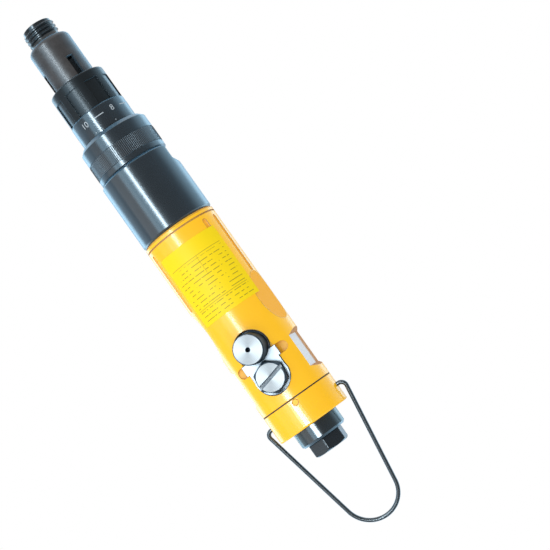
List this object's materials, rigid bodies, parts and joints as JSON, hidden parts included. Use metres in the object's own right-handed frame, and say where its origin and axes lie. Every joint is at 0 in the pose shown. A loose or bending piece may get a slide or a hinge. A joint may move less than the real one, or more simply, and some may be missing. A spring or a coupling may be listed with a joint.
{
  "type": "pneumatic screwdriver",
  "caption": "In-line pneumatic screwdriver: push-to-start air motor, planetary gear, ball clutch with numbered torque collar, reverse button, hanger bail and hex air inlet.",
  "frame": {"origin": "on the tool's axis, at the mouth of the bit socket in the nose's front face", "axes": "+Z runs along the tool from the nose to the air inlet, the way it hangs; the reverse button faces -Y"},
  "size_m": [0.054, 0.0519, 0.3303],
  "materials": {
    "yellow_paint": "gloss coat over an aluminium casting",
    "black_steel": "black oxide, satin",
    "slate_steel": "black oxide, low gloss",
    "brown_steel": "brown phosphate",
    "bright_steel": "ground steel",
    "machined_steel": "machined steel",
    "spring_steel": "drawn spring wire",
    "plated_steel": "zinc plate",
    "black_wire": "black oxide wire",
    "bronze": "sintered bronze",
    "brass_mesh": "brass",
    "vane_composite": "phenolic laminate",
    "black_rubber": "moulded rubber"
  },
  "bodies": {
    "tool": {"nose_bush": "black_steel", "front_sleeve": "brown_steel", "spindle_bush": "bronze", "clutch_spring": "spring_steel", "thrust_washer": "machined_steel", "clutch_housing": "black_steel", "carrier_bearing": "bright_steel", "ring_gear": "machined_steel", "front_end_plate": "machined_steel", "front_bearing": "bright_steel", "motor_liner": "machined_steel", "rear_end_plate": "machined_steel", "rear_bearing": "bright_steel", "throttle_spring": "spring_steel", "handle_body": "yellow_paint", "button_spring": "spring_steel", "retainer_plate": "plated_steel", "retainer_bolt": "plated_steel", "rear_gasket": "black_rubber", "rear_cap": "yellow_paint", "cap_pin": "yellow_paint", "exhaust_collar": "black_steel", "inlet_bushing": "black_steel", "inlet_screen": "brass_mesh"},
    "collar": {"torque_collar": "slate_steel", "scale_ring": "black_steel"},
    "seat": {"spring_seat": "black_steel"},
    "lock": {"lock_ring": "black_steel"},
    "throttle": {"push_rod": "bright_steel", "throttle_valve": "black_rubber"},
    "spindle": {"bit_holder": "bright_steel", "bit_ball": "bright_steel", "bit_clip": "spring_steel", "spindle_shaft": "black_steel"},
    "carrier": {"planet_carrier": "machined_steel", "planet_pins": "bright_steel", "clutch_driver": "machined_steel", "clutch_balls": "bright_steel", "driven_disc": "machined_steel"},
    "planet_1": {"planet_gear_1": "machined_steel"},
    "planet_2": {"planet_gear_2": "machined_steel"},
    "planet_3": {"planet_gear_3": "machined_steel"},
    "rotor": {"rotor": "machined_steel", "rotor_vanes": "vane_composite", "sun_pinion": "machined_steel"},
    "button": {"reverse_button": "bright_steel"},
    "bail": {"hanger_bail": "black_wire"}
  },
  "joints": [
    {"name": "rotor_spin", "type": "hinge", "parent": "tool", "child": "rotor", "pos_m": [0, 0, 0.157], "axis": [0, 0, 1], "continuous": true},
    {"name": "carrier_spin", "type": "hinge", "parent": "tool", "child": "carrier", "pos_m": [0, 0, 0.1], "axis": [0, 0, 1], "continuous": true},
    {"name": "planet_spin_1", "type": "hinge", "parent": "carrier", "child": "planet_1", "pos_m": [0.01125, 0, 0.115], "axis": [0, 0, 1], "continuous": true},
    {"name": "planet_spin_2", "type": "hinge", "parent": "carrier", "child": "planet_2", "pos_m": [-0.00562, 0.00974, 0.115], "axis": [0, 0, 1], "continuous": true},
    {"name": "planet_spin_3", "type": "hinge", "parent": "carrier", "child": "planet_3", "pos_m": [-0.00562, -0.00974, 0.115], "axis": [0, 0, 1], "continuous": true},
    {"name": "spindle_push", "type": "slide", "parent": "tool", "child": "throttle", "axis": [0, 0, 1], "range_m": [0, 0.0025], "stiffness_N_per_m": 1500, "springref_m": -0.004, "deforming": ["throttle_spring"]},
    {"name": "spindle_spin", "type": "hinge", "parent": "throttle", "child": "spindle", "pos_m": [0, 0, 0.04], "axis": [0, 0, 1], "continuous": true},
    {"name": "collar_turn", "type": "hinge", "parent": "tool", "child": "collar", "pos_m": [0, 0, 0.056], "axis": [0, 0, 1], "range_deg": [-270, 30]},
    {"name": "seat_slide", "type": "slide", "parent": "tool", "child": "seat", "axis": [0, 0, 1], "range_m": [-0.00405, 0.00045], "deforming": ["clutch_spring"]},
    {"name": "lock_turn", "type": "hinge", "parent": "tool", "child": "lock", "pos_m": [0, 0, 0.085], "axis": [0, 0, 1], "range_deg": [0, 60]},
    {"name": "button_press", "type": "slide", "parent": "tool", "child": "button", "axis": [0, 1, 0], "range_m": [0, 0.004], "stiffness_N_per_m": 700, "springref_m": -0.003, "deforming": ["button_spring"]},
    {"name": "bail_swing", "type": "hinge", "parent": "tool", "child": "bail", "pos_m": [0, 0, 0.2559], "axis": [1, 0, 0], "range_deg": [-130, 140]}
  ],
  "couplings": [
    {"joint": "carrier_spin", "follows": "rotor_spin", "ratio": 0.25},
    {"joint": "planet_spin_1", "follows": "rotor_spin", "ratio": -0.75},
    {"joint": "planet_spin_2", "follows": "rotor_spin", "ratio": -0.75},
    {"joint": "planet_spin_3", "follows": "rotor_spin", "ratio": -0.75},
    {"joint": "spindle_spin", "follows": "rotor_spin", "ratio": 0.25},
    {"joint": "collar_turn", "follows": "seat_slide", "rad_per_m": 1163.6}
  ]
}
